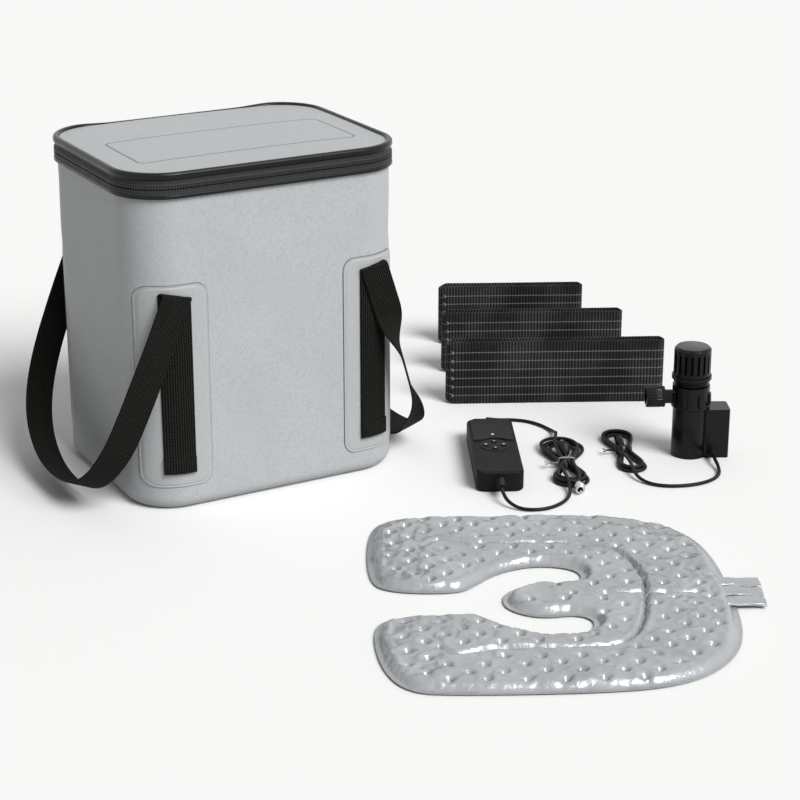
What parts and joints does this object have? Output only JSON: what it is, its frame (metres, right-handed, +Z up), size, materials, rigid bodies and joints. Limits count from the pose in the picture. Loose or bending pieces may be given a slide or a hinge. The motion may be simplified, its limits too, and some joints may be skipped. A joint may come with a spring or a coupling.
{
  "type": "hot and cold therapy machine",
  "caption": "Insulated zip-top ice-water bucket with webbing handles, a keypad controller, a submersible pump, a wrap-round water pad and elastic bands.",
  "frame": {"origin": "middle of the bucket base, on the floor", "axes": "+Z up, -Y towards the bucket front, +X towards the right-hand handle"},
  "size_m": [0.6091, 0.7185, 0.28],
  "materials": {
    "coated_fabric": "heat-welded coated fabric, semi-matt",
    "closed_cell_foam": "cut foam sheet",
    "liner_film": "smooth welded film",
    "board": "pressed sheet",
    "black_tape": "woven zip tape and binding",
    "zip_teeth": "moulded coil teeth",
    "webbing": "ribbed woven webbing",
    "slider_metal": "painted die casting",
    "case_black": "moulded, fine spark texture",
    "key_rubber": "moulded silicone keys",
    "lens": "polished translucent lens",
    "steel": "zinc plated",
    "board_green": "glass-fibre board with resist",
    "switch_black": "moulded switch bodies",
    "cable_black": "extruded soft cable jacket",
    "tie_paper": "plastic-covered twist wire",
    "pump_black": "moulded, semi-gloss",
    "rotor_parts": "moulded and pressed inner parts",
    "winding": "enamelled wire on a laminated core",
    "seal_rubber": "moulded ring",
    "pad_film": "satin coated film, dot-welded",
    "elastic": "knitted elastic with pale lines"
  },
  "bodies": {
    "bucket": {"base_panel": "coated_fabric", "foam_base": "closed_cell_foam", "base_board": "board", "outer_shell": "coated_fabric", "foam_wall": "closed_cell_foam", "inner_liner": "liner_film", "rim_binding": "black_tape", "zipper_tape_lower": "black_tape", "zipper_chain_lower": "zip_teeth", "hinge_strip": "coated_fabric", "strap_patches": "coated_fabric", "strap_anchors": "webbing"},
    "lid": {"lid_cover": "coated_fabric", "lid_foam": "closed_cell_foam", "lid_liner": "liner_film", "lid_piping": "black_tape", "zipper_tape_upper": "black_tape", "zipper_chain_upper": "zip_teeth"},
    "slider": {"zip_slider": "slider_metal"},
    "pull": {"zip_pull": "slider_metal"},
    "left_loop": {"left_handle": "webbing"},
    "right_loop": {"right_handle": "webbing"},
    "controller": {"controller_back": "case_black", "controller_front": "case_black", "case_screws": "steel", "circuit_board": "board_green", "tact_switches": "switch_black", "indicator_lens": "lens", "keypad_plate": "case_black", "inlet_relief": "cable_black", "outlet_relief": "cable_black", "power_lead": "cable_black", "output_lead": "cable_black", "controller_lead_hank": "cable_black", "lead_tie": "tie_paper", "power_plug": "cable_black", "output_connector": "steel"},
    "pump": {"motor_housing": "pump_black", "rotor_well": "rotor_parts", "stator": "winding", "rotor_shaft": "steel", "volute_housing": "pump_black", "volute_seal": "seal_rubber", "cable_gland": "cable_black", "pump_cable": "cable_black", "pump_cable_hank": "cable_black", "pump_cable_tie": "tie_paper"},
    "rotor": {"rotor_magnet": "rotor_parts", "impeller": "rotor_parts"},
    "filter_cap": {"inlet_filter": "pump_black"},
    "spout_nut": {"outlet_nut": "pump_black"},
    "pad": {"pad_chamber": "pad_film", "pad_hose_sleeves": "pad_film"},
    "small_band": {"elastic_band_small": "elastic"},
    "medium_band": {"elastic_band_medium": "elastic"},
    "large_band": {"elastic_band_large": "elastic"},
    "key_up_cap": {"key_up": "key_rubber"},
    "key_down_cap": {"key_down": "key_rubber"},
    "key_left_cap": {"key_left": "key_rubber"},
    "key_right_cap": {"key_right": "key_rubber"}
  },
  "joints": [
    {"name": "lid_hinge", "type": "hinge", "parent": "bucket", "child": "lid", "pos_m": [0, 0.0992, 0.268], "axis": [-1, 0, 0], "range_deg": [0, 110]},
    {"name": "slider_run", "type": "slide", "parent": "bucket", "child": "slider", "axis": [0, -1, 0], "range_m": [0, 0.096]},
    {"name": "pull_swing", "type": "hinge", "parent": "slider", "child": "pull", "pos_m": [0.127, 0.048, 0.268], "axis": [0, -1, 0], "range_deg": [0, 170]},
    {"name": "left_loop_swing", "type": "hinge", "parent": "bucket", "child": "left_loop", "pos_m": [-0.088, 0, 0.181], "axis": [0, 1, 0], "range_deg": [0, 130]},
    {"name": "right_loop_swing", "type": "hinge", "parent": "bucket", "child": "right_loop", "pos_m": [0.088, 0, 0.181], "axis": [0, -1, 0], "range_deg": [0, 132]},
    {"name": "controller_lift", "type": "slide", "parent": "bucket", "child": "controller", "axis": [0, 0, 1], "range_m": [0, 0.35]},
    {"name": "key_up_press", "type": "slide", "parent": "controller", "child": "key_up_cap", "axis": [0, 0, -1], "range_m": [0, 0.0006], "stiffness_N_per_m": 500},
    {"name": "key_down_press", "type": "slide", "parent": "controller", "child": "key_down_cap", "axis": [0, 0, -1], "range_m": [0, 0.0006], "stiffness_N_per_m": 500},
    {"name": "key_left_press", "type": "slide", "parent": "controller", "child": "key_left_cap", "axis": [0, 0, -1], "range_m": [0, 0.0006], "stiffness_N_per_m": 500},
    {"name": "key_right_press", "type": "slide", "parent": "controller", "child": "key_right_cap", "axis": [0, 0, -1], "range_m": [0, 0.0006], "stiffness_N_per_m": 500},
    {"name": "pump_lift", "type": "slide", "parent": "bucket", "child": "pump", "axis": [0, 0, 1], "range_m": [0, 0.35]},
    {"name": "rotor_spin", "type": "hinge", "parent": "pump", "child": "rotor", "pos_m": [0.34507, -0.19494, 0.03], "axis": [0, 0, 1], "continuous": true},
    {"name": "filter_twist", "type": "hinge", "parent": "pump", "child": "filter_cap", "pos_m": [0.34507, -0.19494, 0.088], "axis": [0, 0, 1], "range_deg": [0, 60]},
    {"name": "nut_turn", "type": "hinge", "parent": "pump", "child": "spout_nut", "pos_m": [0.31748, -0.18079, 0.053], "axis": [0.8898, -0.4563, 0], "continuous": true},
    {"name": "pad_lift", "type": "slide", "parent": "bucket", "child": "pad", "axis": [0, 0, 1], "range_m": [0, 0.35]},
    {"name": "small_band_lift", "type": "slide", "parent": "bucket", "child": "small_band", "axis": [0, 0, 1], "range_m": [0, 0.35]},
    {"name": "medium_band_lift", "type": "slide", "parent": "bucket", "child": "medium_band", "axis": [0, 0, 1], "range_m": [0, 0.35]},
    {"name": "large_band_lift", "type": "slide", "parent": "bucket", "child": "large_band", "axis": [0, 0, 1], "range_m": [0, 0.35]}
  ]
}
